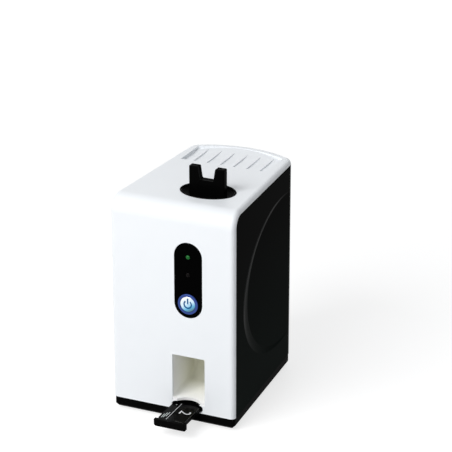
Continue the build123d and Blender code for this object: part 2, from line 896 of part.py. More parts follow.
def make_frame(x0, side):
    """A sheet side plate with a turned foot and an arm that carries the optics."""
    x1 = x0 + frame_sheet
    z0 = floor_z + sheet_foot_lift
    y0, y1 = path_y - frame_front, path_y + frame_rear
    arm = box(x0, x1, y0, path_y + frame_arm, frame_arm_z, frame_top_z)
    arm = fillet(arm.edges().filter_by(Axis.X).group_by(Axis.Y)[-1], frame_arm_round)
    sheet = box(x0, x1, y0, y1, z0, frame_top_z) + arm
    outer = x1 + sheet_foot if side > 0 else x0 - sheet_foot
    xa, xb = sorted(((x0 + x1) / 2, outer))
    sheet += box(xa, xb, y0, y1, z0, z0 + frame_sheet)
    for x, y in sheet_foot_screws():
        sheet -= rod_z(x, y, z0 - past, z0 + frame_sheet + past, screw_r + slip)
    for z in nip_zs:
        for y in (drive_y, pinch_y):
            sheet -= rod_x(x0 - past, x1 + past, y, z, bush_r + shaft_fit)
    for y, z in tie_places():
        sheet -= rod_x(x0 - past, x1 + past, y, z, screw_r + slip)
    if side < 0:
        sheet -= rod_x(x0 - past, x1 + past, motor_y, motor_z, motor_boss_r + slip)
        half = motor_hole_pitch / 2
        for y in (motor_y - half, motor_y + half):
            for z in (motor_z - half, motor_z + half):
                sheet -= rod_x(x0 - past, x1 + past, y, z, screw_r + slip)
    width, height, low = frame_window
    window = box(x0 - past, x1 + past, path_y - width / 2, path_y + width / 2, low, low + height)
    return sheet - round_edges(window, frame_arm_round, Axis.X)


def make_ties():
    x0, x1 = path_x - frame_half_width, path_x + frame_half_width
    end = frame_sheet + shaft_end
    ties = []
    for y, z in tie_places():
        ties.append(rod_x(x0, x1, y, z, tie_r) + rod_x(x0 - end, x1 + end, y, z, screw_r))
    return ties


def make_bushes():
    bushes = []
    for z in nip_zs:
        for y, flange_r in ((drive_y, bush_flange_r), (pinch_y, pinch_flange_r)):
            for x0 in (left_frame_x, right_frame_x):
                x1 = x0 + frame_sheet
                xa = x0 - bush_flange if x0 < path_x else x1
                bush = rod_x(x0, x1, y, z, bush_r) + rod_x(xa, xa + bush_flange, y, z, flange_r)
                cut = bush_flange + past
                bushes.append(bush - rod_x(x0 - cut, x1 + cut, y, z, shaft_r + shaft_fit))
    return bushes


def make_path_guide(side):
    """One wall of the plate path, flared at its top, with windows for rollers and light."""
    x0, x1 = path_x - frame_half_width, path_x + frame_half_width
    y0 = path_y + side * path_gap / 2
    y1 = y0 + side * guide_sheet
    top = body_height - guide_drop
    flare = side * guide_flare
    drop = guide_sheet / 2
    points = [
        (y0, path_low_z),
        (y0, top),
        (y0 + flare, top + guide_flare),
        (y1 + flare, top + guide_flare - drop),
        (y1, top - drop),
        (y1, path_low_z),
    ]
    guide = in_side_view(points, x0, x1)
    r = drive_r if side > 0 else pinch_r
    half = sleeve_length / 2 + guide_window_side
    low, high = sorted((y0 - side * past, y1 + side * past))
    windows = [(z, 2 * r) for z in nip_zs]
    if side > 0:
        windows += [(scan_z, scan_slit), (erase_z, erase_slit)]
    for z, height in windows:
        guide -= box(path_x - half, path_x + half, low, high, z - height / 2, z + height / 2)
    return guide


def make_drive_shaft(z):
    x0 = pulley_x - shaft_proud
    x1 = right_frame_x + frame_sheet + bush_flange + shaft_end
    return chamfer(rod_x(x0, x1, drive_y, z, shaft_r).edges(), shaft_round)


def make_sleeve(y, z, r):
    half = sleeve_length / 2
    sleeve = chamfer(rod_x(path_x - half, path_x + half, y, z, r).edges(), sleeve_round)
    return sleeve - rod_x(path_x - half - past, path_x + half + past, y, z, shaft_r)


def make_pinch_axle(z):
    x0 = left_frame_x - bush_flange - slip
    x1 = right_frame_x + frame_sheet + bush_flange + shaft_end
    return chamfer(rod_x(x0, x1, pinch_y, z, shaft_r).edges(), shaft_round)


def make_pulley(y, z, r, flange_r, bore):
    x0, x1 = pulley_x, pulley_x + pulley_width
    pulley = rod_x(x0, x1, y, z, r)
    pulley += rod_x(x0, x0 + pulley_flange, y, z, flange_r)
    pulley += rod_x(x1 - pulley_flange, x1, y, z, flange_r)
    return pulley - rod_x(x0 - past, x1 + past, y, z, bore)


def belt_outline(grow):
    """The loop round all four pulleys, seen along X, as a face."""
    edges = ShapeList()
    for z in nip_zs:
        edges += (Pos(drive_y, z) * Circle(pulley_r + grow)).edges()
    edges += (Pos(motor_y, motor_z) * Circle(motor_pulley_r + grow)).edges()
    return make_hull(edges)


def make_belt():
    x0 = pulley_x + pulley_flange + belt_side_gap
    x1 = pulley_x + pulley_width - pulley_flange - belt_side_gap
    outer = Plane.YZ * belt_outline(belt_gap + belt_thickness)
    inner = Plane.YZ * belt_outline(belt_gap)
    return Pos(x0, 0, 0) * (extrude(outer, amount=x1 - x0) - extrude(inner, amount=x1 - x0))


def make_motor():
    x0 = left_frame_x + frame_sheet
    h = motor_size / 2
    motor = box(x0, x0 + motor_length, motor_y - h, motor_y + h, motor_z - h, motor_z + h)
    motor = round_edges(motor, motor_corner_r, Axis.X)
    motor += rod_x(x0 - motor_boss, x0, motor_y, motor_z, motor_boss_r)
    cut = motor_boss + past
    return motor - rod_x(x0 - cut, x0 + motor_bore, motor_y, motor_z, motor_shaft_r + shaft_fit)


def make_motor_shaft():
    x0 = pulley_x - shaft_proud
    x1 = left_frame_x + frame_sheet + motor_bore - motor_bore_end_gap
    return chamfer(rod_x(x0, x1, motor_y, motor_z, motor_shaft_r).edges(), shaft_round)


# Scanning optics
def make_bench():
    """The casting that carries the optics, with a rib round its underside."""
    x0, x1 = path_x - frame_half_width, path_x + frame_half_width
    y0 = path_y + bench_start
    y1 = y0 + bench_length
    z0 = bench_z - bench_thickness
    bench = box(x0, x1, y0, y1, z0, bench_z)
    bench = fillet(bench.edges().filter_by(Axis.Z).group_by(Axis.Y)[-1], bench_round)
    a = bench_rib_in
    b = a + bench_rib
    rib = box(x0 + a, x1 - a, y0 + a, y1 - a, z0 - bench_rib, z0)
    rib -= box(x0 + b, x1 - b, y0 + b, y1 - b, z0 - bench_rib - past, z0)
    return bench + rib + detector_cradle()


def detector_cradle():
    """A bridge cast on the bench, whose legs stand clear of the scan line."""
    y0 = path_y + detector_behind_path + cradle_behind
    y1 = y0 + cradle_thickness
    x0, x1 = path_x - frame_half_width + slip, path_x + frame_half_width - slip
    leg = cradle_leg
    bridge = box(x0, x1, y0, y1, bench_z - slip, detector_z - cradle_below_axis)
    bridge -= box(x0 + leg, x1 - leg, y0 - past, y1 + past, bench_z, scan_z + cradle_thickness)
    return bridge - rod_y(path_x, y0 - past, y1 + past, detector_z, detector_r)


def make_scan_motor():
    x, y = path_x, path_y + mirror_behind_path
    z1 = scan_z - mirror_thickness / 2
    half = mirror_r + motor_card_margin
    board = box(x - half, x + half, y - half, y + half, bench_z, bench_z + board_thickness)
    stator = rod_z(x, y, bench_z + board_thickness, z1 - mirror_above_motor, stator_r)
    top = z1 + mirror_thickness + mirror_hub + spindle_proud
    return board + stator + rod_z(x, y, z1 - 2 * mirror_above_motor, top, mirror_bore - shaft_fit)


def make_mirror():
    x, y = path_x, path_y + mirror_behind_path
    z0 = scan_z - mirror_thickness / 2
    z1 = z0 + mirror_thickness
    mirror = extrude(Pos(x, y, z0) * RegularPolygon(mirror_r, mirror_sides), amount=mirror_thickness)
    mirror += rod_z(x, y, z1, z1 + mirror_hub, mirror_hub_r)
    return mirror - rod_z(x, y, z0 - past, z1 + mirror_hub + past, mirror_bore)


def make_laser():
    w, d, h = laser_size
    flange_depth, flange_height = laser_flange
    x0 = path_x + mirror_r + laser_from_mirror
    y = path_y + mirror_behind_path
    block = box(x0, x0 + w, y - d / 2, y + d / 2, bench_z, bench_z + h)
    block -= rod_x(x0 - past, x0 + w / 2, y, scan_z, collimator_r + slip / 2)
    y1 = y + d / 2
    return block + box(x0, x0 + w, y1, y1 + flange_depth, bench_z, bench_z + flange_height)


def make_collimator():
    x0 = path_x + mirror_r + laser_from_mirror - collimator_proud
    y = path_y + mirror_behind_path
    lens = rod_x(x0, x0 + collimator_length, y, scan_z, collimator_r)
    return fillet(lens.edges().sort_by(Axis.X)[0], sleeve_round)


def make_scan_lens():
    y0 = path_y + lens_behind_path
    y1 = y0 + lens_edge
    x0, x1 = path_x - lens_width / 2, path_x + lens_width / 2
    edges = [
        Line((x0, y0), (x1, y0)),
        Line((x1, y0), (x1, y1)),
        ThreePointArc((x1, y1), (path_x, y1 + lens_thickness), (x0, y1)),
        Line((x0, y1), (x0, y0)),
    ]
    face = Pos(0, 0, bench_z) * make_face(edges)
    return extrude(face, amount=scan_z - bench_z + lens_height / 2)


def make_collector():
    """The clear guide that gathers light along the scan line and leads it to the detector."""
    half = sleeve_length / 2
    z0 = scan_z + collector_above_scan
    z1 = z0 + collector_thickness
    y0 = path_y + path_gap / 2 + guide_sheet + rail_gap
    y1 = y0 + collector_end
    strip = box(path_x - half, path_x + half, y0, y1, z0, z1)
    start = Plane(origin=(path_x, y1, (z0 + z1) / 2), x_dir=(1, 0, 0), z_dir=(0, -1, 0))
    end_y = path_y + detector_behind_path
    stop = Plane(origin=(path_x, end_y, detector_z), x_dir=(1, 0, 0), z_dir=(0, -1, 0))
    end = detector_r * math.sqrt(2)
    return strip + loft([start * Rectangle(2 * half, z1 - z0), stop * Rectangle(end, end)])


def make_detector():
    y0 = path_y + detector_behind_path
    y1 = y0 + detector_length
    tube = rod_y(path_x, y0, y1, detector_z, detector_r)
    return tube + rod_y(path_x, y1 - detector_cap_length, y1, detector_z, detector_r + detector_cap)


def make_erase_lamp():
    x0, x1 = path_x - frame_half_width, path_x + frame_half_width
    y0 = path_y + path_gap / 2 + guide_sheet + erase_lamp_gap
    y1 = y0 + erase_lamp_height
    lamp = box(x0, x1, y1, y1 + board_thickness, erase_z - erase_board / 2, erase_z + erase_board / 2)
    half = erase_lamp / 2
    for i in range(erase_lamps):
        x = path_x + (i - (erase_lamps - 1) / 2) * erase_pitch
        lamp += box(x - half, x + half, y0, y1, erase_z - half, erase_z + half)
    return lamp


# Electronics
def board_top():
    return floor_z + standoff + board_thickness


def standoff_places():
    x0, y0 = main_board_x, front_y + main_board_behind_front
    x1, y1 = x0 + main_board_size[0], y0 + main_board_size[1]
    near, far = main_board_hole_in, main_board_rear_hole_in
    return [(x, y) for x in (x0 + near, x1 - near) for y in (y0 + near, y1 - far)]


def make_main_board():
    x0, y0 = main_board_x, front_y + main_board_behind_front
    z1 = board_top()
    board = box(x0, x0 + main_board_size[0], y0, y0 + main_board_size[1], z1 - board_thickness, z1)
    for x, y in standoff_places():
        board -= rod_z(x, y, z1 - board_thickness - past, z1 + past, screw_r + slip)
    return board


def make_standoffs():
    z1 = board_top()
    z0 = z1 - board_thickness
    posts = []
    for x, y in standoff_places():
        post = rod_z(x, y, floor_z, z0, standoff_r) + rod_z(x, y, z0, z1, screw_r)
        posts.append(post + rod_z(x, y, z1, z1 + screw_head, screw_head_r))
    return posts


def make_board_parts():
    x0, y0 = main_board_x, front_y + main_board_behind_front
    z = board_top()
    parts = [
        box(x0 + x, x0 + x + width, y0 + y, y0 + y + depth, z, z + height)
        for x, y, width, depth, height in chips
    ]
    return parts + [rod_z(x0 + x, y0 + y, z, z + height, r) for x, y, r, height in capacitors]


def make_usb():
    w, d, h = usb_size
    z0 = board_top()
    z1 = z0 + h
    y1 = front_y + socket_pad_behind_front
    y0 = y1 - d + socket_back
    x0, x1 = usb_x - w / 2, usb_x + w / 2
    t = usb_shell
    socket = box(x0, x1, y1 - d, y1, z0, z1) - box(x0 + t, x1 - t, y0, y1 + past, z0 + t, z1 - t)
    half, tall = usb_tongue[0] / 2, usb_tongue[1] / 2
    z = (z0 + z1) / 2
    return socket + box(usb_x - half, usb_x + half, y0 - past, y1 - t, z - tall, z + tall)


def make_jack():
    w, d, h = jack_size
    z0 = board_top()
    z = z0 + h / 2
    y1 = front_y + socket_pad_behind_front
    y0 = y1 - d + socket_back
    body = box(jack_x - w / 2, jack_x + w / 2, y1 - d, y1, z0, z0 + h)
    body -= rod_y(jack_x, y0, y1 + past, z, jack_bore_r)
    return body + rod_y(jack_x, y0 - past, y1 - usb_shell, z, jack_pin_r)


def make_foot_screws():
    z = floor_z + sheet_foot_lift + frame_sheet
    screws = []
    for x, y in sheet_foot_screws():
        shank = rod_z(x, y, floor_z + slip, z, screw_r - screw_slack)
        screws.append(shank + rod_z(x, y, z, z + screw_head, screw_head_r))
    return screws


# All pieces
def build():
    skirt = (body_form(0, base_top) - body_form(wall, base_top - past)) & skirt_prism(seam)
    PARTS["front_top_cover"] = make_cover()
    PARTS["side_panel_left"] = make_side_panel(skirt, -1)
    PARTS["side_panel_right"] = make_side_panel(skirt, 1)
    PARTS["rear_panel"] = make_rear_panel(skirt)
    PARTS["base_pan"] = make_base()
    PARTS["rubber_feet"] = make_feet()
    PARTS["guide_dish"] = make_dish()
    PARTS["plate_guide"] = make_guide()
    PARTS["control_fascia"] = make_fascia()
    PARTS["button_ring"] = make_ring()
    PARTS["power_button"] = make_cap()
    PARTS["switch_plunger"] = make_plunger()
    PARTS["button_switch"] = make_switch()
    PARTS["ready_led"] = make_led(led_zs[0])
    PARTS["error_led"] = make_led(led_zs[1])
    PARTS["panel_board"] = make_panel_board()
    PARTS["chute_liner"] = make_chute()
    PARTS["exit_tray"] = make_tray()
    PARTS["tray_rails"] = make_tray_rails()
    PARTS["imaging_plate"] = make_plate()
    PARTS["transport_frame_left"] = make_frame(left_frame_x, -1)
    PARTS["transport_frame_right"] = make_frame(right_frame_x, 1)
    PARTS["tie_rods"] = make_ties()
    PARTS["shaft_bushes"] = make_bushes()
    PARTS["path_guide_front"] = make_path_guide(-1)
    PARTS["path_guide_rear"] = make_path_guide(1)
    for name, z in zip(("upper", "middle", "lower"), nip_zs):
        PARTS[name + "_drive_shaft"] = make_drive_shaft(z)
        PARTS[name + "_drive_sleeve"] = make_sleeve(drive_y, z, drive_r)
        PARTS[name + "_drive_pulley"] = make_pulley(drive_y, z, pulley_r, pulley_flange_r, shaft_r)
        PARTS[name + "_pinch_axle"] = make_pinch_axle(z)
        PARTS[name + "_pinch_sleeve"] = make_sleeve(pinch_y, z, pinch_r)
    PARTS["drive_belt"] = make_belt()
    PARTS["stepper_motor"] = make_motor()
    PARTS["motor_shaft"] = make_motor_shaft()
    PARTS["motor_pulley"] = make_pulley(
        motor_y, motor_z, motor_pulley_r, motor_pulley_r + pulley_flange_r - pulley_r, motor_shaft_r
    )
    PARTS["optics_bench"] = make_bench()
    PARTS["scan_motor"] = make_scan_motor()
    PARTS["polygon_mirror"] = make_mirror()
    PARTS["laser_module"] = make_laser()
    PARTS["collimator_lens"] = make_collimator()
    PARTS["scan_lens"] = make_scan_lens()
    PARTS["light_collector"] = make_collector()
    PARTS["detector_tube"] = make_detector()
    PARTS["erase_lamp"] = make_erase_lamp()
    PARTS["main_board"] = make_main_board()
    PARTS["board_standoffs"] = make_standoffs()
    PARTS["board_components"] = make_board_parts()
    PARTS["usb_port"] = make_usb()
    PARTS["power_jack"] = make_jack()
    PARTS["fixing_screws"] = make_panel_screws() + make_foot_screws()


build()
os.makedirs("parts", exist_ok=True)
for name, part in PARTS.items():
    solids = part if isinstance(part, list) else [part]
    pieces = [s for item in solids for s in item.solids()]
    shape = pieces[0] if len(pieces) == 1 else Compound(pieces)
    export_step(shape, os.path.join("parts", name + ".step"))
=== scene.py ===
import math

import bmesh
import bpy
from mathutils import Matrix, Vector
from mathutils.bvhtree import BVHTree

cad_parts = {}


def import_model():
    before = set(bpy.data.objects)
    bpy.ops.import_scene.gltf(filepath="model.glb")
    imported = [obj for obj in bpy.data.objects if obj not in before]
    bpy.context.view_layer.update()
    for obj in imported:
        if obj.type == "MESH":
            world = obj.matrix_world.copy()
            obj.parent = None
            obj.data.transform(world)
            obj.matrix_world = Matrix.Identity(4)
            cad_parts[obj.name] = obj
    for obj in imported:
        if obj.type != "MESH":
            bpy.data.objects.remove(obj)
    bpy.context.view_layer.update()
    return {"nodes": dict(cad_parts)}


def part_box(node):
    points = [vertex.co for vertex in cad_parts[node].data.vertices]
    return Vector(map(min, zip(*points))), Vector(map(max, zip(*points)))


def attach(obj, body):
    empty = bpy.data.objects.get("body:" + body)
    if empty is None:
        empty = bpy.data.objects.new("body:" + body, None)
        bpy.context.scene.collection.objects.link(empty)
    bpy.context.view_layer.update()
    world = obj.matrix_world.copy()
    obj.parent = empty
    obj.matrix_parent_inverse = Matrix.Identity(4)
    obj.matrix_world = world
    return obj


MM = 0.001

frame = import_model()
nodes = frame["nodes"]

# Size of the faint clouds in a surface's colour and in its gloss
CLOUD_MM = 25.0
WEAR_MM = 10.0

# A brushed line is this many times as long as it is wide
LINE_LENGTH = 60

# Power symbol on the button's hollow cap. Its ring is open at the top by twice the open angle,
# and its bar runs from BAR_TOP down to BAR_FOOT, both above the cap's middle.
CAP_HOLLOW = 0.35 * MM
CAP_HOLLOW_R = 60 * MM
SYMBOL_R = 4.1 * MM
STROKE_HALF = 0.8 * MM
SYMBOL_OPEN_DEG = 38
BAR_TOP = 6.7 * MM
BAR_FOOT = 0.2 * MM

# Print stands this proud of what carries it
PRINT = 0.03 * MM

# Print on the imaging plate, in mm from its left and front edges. Each bar of small print has
# its left edge, its start and its end.
SMALL_PRINT = ((2.4, 3.5, 12.0), (4.2, 4.5, 15.0), (6.0, 7.0, 17.0))
SMALL_PRINT_WIDTH = 0.8
DOT_PLACE = (5.2, 35.6)
DOT_INNER_R = 0.35
DOT_OUTER_R = 0.8
NUMBER_PLACE = (20.7, 22.0)
NUMBER_SIZE = 17.5 * MM
NUMBER_THINNED = 0.12 * MM

# Rear screws, in mm. Each ring of a head has a radius, a rise and the depth of its six lobes.
SCREW_X = 50.0
SCREW_Z = (36.0, 214.0)
HEAD_RINGS = (
    (2.7, 0.0, 0.0), (2.7, 0.35, 0.0), (2.45, 0.65, 0.0),
    (1.9, 0.85, 0.0), (1.25, 0.9, 0.22), (1.2, 0.3, 0.22),
)

# Studio, in metres. From the fade's start to its end the floor's glow rises to the background's.
FLOOR_HALF = 30.0
GLOW_NEAR, GLOW_FAR = 0.72, 1.0
FADE_START, FADE_END = 0.8, 2.6
CAMERA_PLACE = (0.8496, -1.8327, 1.0005)
CAMERA_TILT_DEG = 68.18
CAMERA_TURN_DEG = 24.19
CAMERA_LENS = 164.93


# Shader helpers
def srgb(r, g, b):
    """A colour written as 0 to 255 turned into the linear values that shaders take."""
    def one(c):
        c = c / 255
        return c / 12.92 if c <= 0.04045 else ((c + 0.055) / 1.055) ** 2.4
    return (one(r), one(g), one(b), 1.0)


def shade(colour, k):
    """The colour made lighter or darker by the factor k."""
    return tuple(min(1.0, c * k) for c in colour[:3]) + (1.0,)


def node(tree, kind, **values):
    """A new shader node. Each value goes to the input, or else to the setting, of that name."""
    made = tree.nodes.new(kind)
    for key, value in values.items():
        if key in made.inputs:
            made.inputs[key].default_value = value
        else:
            setattr(made, key, value)
    return made


def noise(tree, size_mm, detail=2.0):
    """Noise whose spots are about size_mm across, in the frame's own metres."""
    place = node(tree, "ShaderNodeTexCoord")
    made = node(tree, "ShaderNodeTexNoise", Scale=1000 / size_mm, Detail=detail)
    tree.links.new(place.outputs["Object"], made.inputs["Vector"])
    return made.outputs["Fac"]


def spread(tree, value, low, high, start=0.3, end=0.7):
    """Maps a value that runs from start to end onto low to high."""
    made = node(tree, "ShaderNodeMapRange")
    made.inputs["From Min"].default_value = start
    made.inputs["From Max"].default_value = end
    made.inputs["To Min"].default_value = low
    made.inputs["To Max"].default_value = high
    tree.links.new(value, made.inputs["Value"])
    return made.outputs["Result"]


def ramp(tree, value, *stops):
    """A colour ramp. Each stop is a position from 0 to 1 and a colour."""
    made = node(tree, "ShaderNodeValToRGB")
    row = made.color_ramp.elements
    while len(row) < len(stops):
        row.new(0.5)
    for element, (position, colour) in zip(row, stops):
        element.position = position
        element.color = colour
    tree.links.new(value, made.inputs["Fac"])
    return made.outputs["Color"]


def bump(tree, shader, height, depth_mm, after=None):
    """Turns a height into relief, on top of an earlier bump if one is given."""
    made = node(tree, "ShaderNodeBump", Strength=1.0, Distance=depth_mm * MM)
    tree.links.new(height, made.inputs["Height"])
    if after is not None:
        tree.links.new(after, made.inputs["Normal"])
    tree.links.new(made.outputs["Normal"], shader.inputs["Normal"])
    return made.outputs["Normal"]


def mottled(colour, mottle):
    """One colour with faint clouds in it."""
    def paint(tree):
        cloud = noise(tree, CLOUD_MM, 3.0)
        return ramp(tree, cloud, (0.25, shade(colour, 1 - mottle)), (0.75, shade(colour, 1 + mottle)))
    return paint


def running(way, *stops):
    """A colour that changes along one direction. Each stop is a place in metres and a colour."""
    low, high = stops[0][0], stops[-1][0]
    row = [((at - low) / (high - low), colour) for at, colour in stops]

    def paint(tree):
        place = node(tree, "ShaderNodeTexCoord")
        dot = node(tree, "ShaderNodeVectorMath", operation="DOT_PRODUCT")
        dot.inputs[1].default_value = way
        tree.links.new(place.outputs["Object"], dot.inputs[0])
        along = spread(tree, dot.outputs["Value"], 0.0, 1.0, low, high)
        return ramp(tree, along, *row)
    return paint


def brushed(tree, shader, grain, along, step_mm, depth_mm):
    """Adds fine lines that run along one axis, as rolled sheet and turned shafts have."""
    place = node(tree, "ShaderNodeTexCoord")
    stretch = node(tree, "ShaderNodeMapping")
    scale = [1000 / step_mm] * 3
    scale["XYZ".index(along)] = 1000 / (step_mm * LINE_LENGTH)
    stretch.inputs["Scale"].default_value = scale
    lines = node(tree, "ShaderNodeTexNoise", Scale=1.0, Detail=2.0)
    tree.links.new(place.outputs["Object"], stretch.inputs["Vector"])
    tree.links.new(stretch.outputs["Vector"], lines.inputs["Vector"])
    bump(tree, shader, lines.outputs["Fac"], depth_mm, after=grain)


def material(name, colour, roughness, metallic=0.0, mottle=0.03, rough_by=0.04, grain_mm=0.5,
             grain_deep_mm=0.01, specular=0.5, lines=None, **plain):
    """A moulded or machined surface: slight mottling, uneven gloss and a fine grain.

    The colour is one colour or a running one. Brushed lines have an axis, a step and a depth.
    """
    mat = bpy.data.materials.new(name)
    mat.use_nodes = True
    tree = mat.node_tree
    shader = tree.nodes["Principled BSDF"]
    shader.inputs["Metallic"].default_value = metallic
    shader.inputs["Specular IOR Level"].default_value = specular
    for key, value in plain.items():
        shader.inputs[key.replace("_", " ")].default_value = value
    paint = colour if callable(colour) else mottled(colour, mottle)
    tree.links.new(paint(tree), shader.inputs["Base Color"])
    worn = spread(tree, noise(tree, WEAR_MM, 4.0), roughness - rough_by, roughness + rough_by)
    tree.links.new(worn, shader.inputs["Roughness"])
    grain = bump(tree, shader, noise(tree, grain_mm), grain_deep_mm)
    if lines is not None:
        brushed(tree, shader, grain, *lines)
    return mat


# The slots' looks. Lengths in mm, and the stops of a running colour in metres.
SHELL_LOOKS = {
    "cover_white": dict(colour=srgb(240, 243, 246), roughness=0.42, mottle=0.006, grain_mm=0.45,
                        grain_deep_mm=0.006, specular=0.4),
    # panel_black: painted light from the floor, a lighter green-grey near the bottom going to near
    # black above
    "panel_black": dict(colour=running((0, 0, 1), (0.02, srgb(15, 23, 20)), (0.2, srgb(4, 5, 4))),
                        roughness=0.06, rough_by=0.005, grain_mm=0.4, grain_deep_mm=0.0012,
                        specular=0.001),
    "base_black": dict(colour=srgb(8, 8, 8), roughness=0.42, mottle=0.04, rough_by=0.01, grain_mm=0.5,
                       grain_deep_mm=0.006, specular=0.004),
    "foot_rubber": dict(colour=srgb(24, 24, 25), roughness=0.82, mottle=0.2, grain_mm=0.3,
                        grain_deep_mm=0.02, specular=0.2),
    "guide_black": dict(colour=srgb(5, 5, 5), roughness=0.3, mottle=0.04, rough_by=0.01, grain_mm=0.4,
                        grain_deep_mm=0.005, specular=0.008),
    "fascia_black": dict(colour=srgb(3, 3, 3), roughness=0.12, mottle=0.04, rough_by=0.01, grain_mm=3.0,
                         grain_deep_mm=0.001, specular=0.004),
    "ring_silver": dict(colour=srgb(38, 66, 138), roughness=0.3, metallic=0.4, grain_mm=0.2,
                        grain_deep_mm=0.002),
    # button_blue: a painted highlight, white at the cap's upper left going to grey-blue at its lower
    # right
    "button_blue": dict(colour=running((-0.507, 0, 0.862), (0.1, srgb(70, 92, 98)),
                                       (0.1045, srgb(96, 178, 218)), (0.109, srgb(206, 232, 246)),
                                       (0.1168, srgb(255, 255, 255))),
                        roughness=0.14, metallic=0.4, grain_mm=0.2, grain_deep_mm=0.002),
    "led_green": dict(colour=srgb(4, 84, 28), roughness=0.05, mottle=0.02, rough_by=0.01, grain_mm=1.0,
                      grain_deep_mm=0.001, specular=0.16, Emission_Color=srgb(8, 130, 44),
                      Emission_Strength=0.16),
    "led_dark": dict(colour=srgb(10, 8, 7), roughness=0.15, mottle=0.05, grain_mm=1.0,
                     grain_deep_mm=0.001, specular=0.04),
    # liner_white: painted shade, white at the chute's front going to a darker olive grey towards its
    # back
    "liner_white": dict(colour=running((0, 1, 0), (-0.0764, srgb(254, 254, 254)),
                                       (-0.056, srgb(246, 246, 240)), (-0.02, srgb(232, 231, 212))),
                        roughness=0.5, grain_mm=0.45, grain_deep_mm=0.008, specular=0.35),
    "tray_black": dict(colour=srgb(5, 5, 5), roughness=0.34, mottle=0.04, rough_by=0.01, grain_mm=0.4,
                       grain_deep_mm=0.005, specular=0.02),
    "plate_black": dict(colour=srgb(3, 3, 4), roughness=0.2, mottle=0.04, rough_by=0.01, grain_mm=1.4,
                        grain_deep_mm=0.002, specular=0.03),
}

INNER_LOOKS = {
    "sheet_steel": dict(colour=srgb(176, 178, 180), roughness=0.32, metallic=1.0, grain_mm=2.0,
                        grain_deep_mm=0.003, lines=("Z", 0.15, 0.004)),
    "shaft_steel": dict(colour=srgb(196, 197, 198), roughness=0.2, metallic=1.0, grain_mm=0.5,
                        grain_deep_mm=0.001, lines=("Y", 0.1, 0.003)),
    "bush_bronze": dict(colour=srgb(160, 122, 78), roughness=0.38, metallic=1.0, mottle=0.08,
                        grain_mm=0.2, grain_deep_mm=0.006),
    "roller_rubber": dict(colour=srgb(44, 46, 50), roughness=0.75, mottle=0.06, grain_mm=0.25,
                          grain_deep_mm=0.02, specular=0.25),
    "guide_inner": dict(colour=srgb(34, 36, 38), roughness=0.5, mottle=0.08, grain_mm=0.4,
                        grain_deep_mm=0.01, specular=0.3),
    "pulley_white": dict(colour=srgb(222, 220, 210), roughness=0.4, mottle=0.02, grain_mm=0.4,
                         grain_deep_mm=0.006, specular=0.4),
    "belt_rubber": dict(colour=srgb(26, 26, 27), roughness=0.7, mottle=0.08, grain_mm=0.2,
                        grain_deep_mm=0.015, specular=0.25),
    "motor_steel": dict(colour=srgb(150, 152, 155), roughness=0.34, metallic=1.0, mottle=0.05,
                        grain_mm=0.3, grain_deep_mm=0.004),
    "cast_alloy": dict(colour=srgb(150, 152, 152), roughness=0.5, metallic=1.0, mottle=0.06,
                       grain_mm=0.5, grain_deep_mm=0.02),
    "mirror_alloy": dict(colour=srgb(222, 224, 226), roughness=0.06, metallic=1.0, rough_by=0.01,
                         mottle=0.01, grain_mm=2.0, grain_deep_mm=0.0004),
    "brass_housing": dict(colour=srgb(190, 156, 92), roughness=0.3, metallic=1.0, mottle=0.05,
                          grain_mm=0.3, grain_deep_mm=0.003),
    "lens_glass": dict(colour=srgb(236, 240, 244), roughness=0.05, rough_by=0.01, mottle=0.005,
                       grain_mm=4.0, grain_deep_mm=0.0003, Transmission_Weight=0.9, IOR=1.5),
    "collector_clear": dict(colour=srgb(214, 224, 232), roughness=0.12, rough_by=0.03, mottle=0.01,
                            grain_mm=3.0, grain_deep_mm=0.001, Transmission_Weight=0.7, IOR=1.49),
    "detector_shield": dict(colour=srgb(120, 124, 128), roughness=0.3, metallic=1.0, grain_mm=0.4,
                            grain_deep_mm=0.003),
    "board_green": dict(colour=srgb(22, 92, 52), roughness=0.35, mottle=0.05, grain_mm=0.8,
                        grain_deep_mm=0.01, specular=0.45),
    "component_black": dict(colour=srgb(24, 24, 26), roughness=0.5, mottle=0.1, grain_mm=0.3,
                            grain_deep_mm=0.01, specular=0.35),
    "socket_metal": dict(colour=srgb(178, 180, 184), roughness=0.28, metallic=1.0, mottle=0.04,
                         grain_mm=0.4, grain_deep_mm=0.003),
}

# The rear is the side panels' plastic in their slot, but rougher, and its colour is painted lighter
# than theirs so that its forms show from behind
REAR_LIGHTENED_LOOK = dict(colour=srgb(16, 17, 17), roughness=0.44, mottle=0.05, rough_by=0.02, grain_mm=0.4,
                 grain_deep_mm=0.01, specular=0.18)


def dress():
    """Gives every carried-over node the material of its slot, or its own."""
    looks = {**SHELL_LOOKS, **INNER_LOOKS}
    made = {slot: material(slot, **look) for slot, look in looks.items()}
    own = {"rear_panel": material("rear_lightened_black", **REAR_LIGHTENED_LOOK)}
    for name, obj in nodes.items():
        for i, had in enumerate(obj.data.materials):
            slot = had.name.split(".")[0]
            obj.data.materials[i] = own.get(name, made[slot])


dress()


# Small meshes
def mesh_piece(name, bm, mat, body):
    """Turns the mesh into a piece with this material that rides the body."""
    mesh = bpy.data.meshes.new(name)
    bmesh.ops.recalc_face_normals(bm, faces=bm.faces)
    bm.to_mesh(mesh)
    bm.free()
    mesh.materials.append(mat)
    obj = bpy.data.objects.new(name, mesh)
    bpy.context.scene.collection.objects.link(obj)
    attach(obj, body)
    return obj


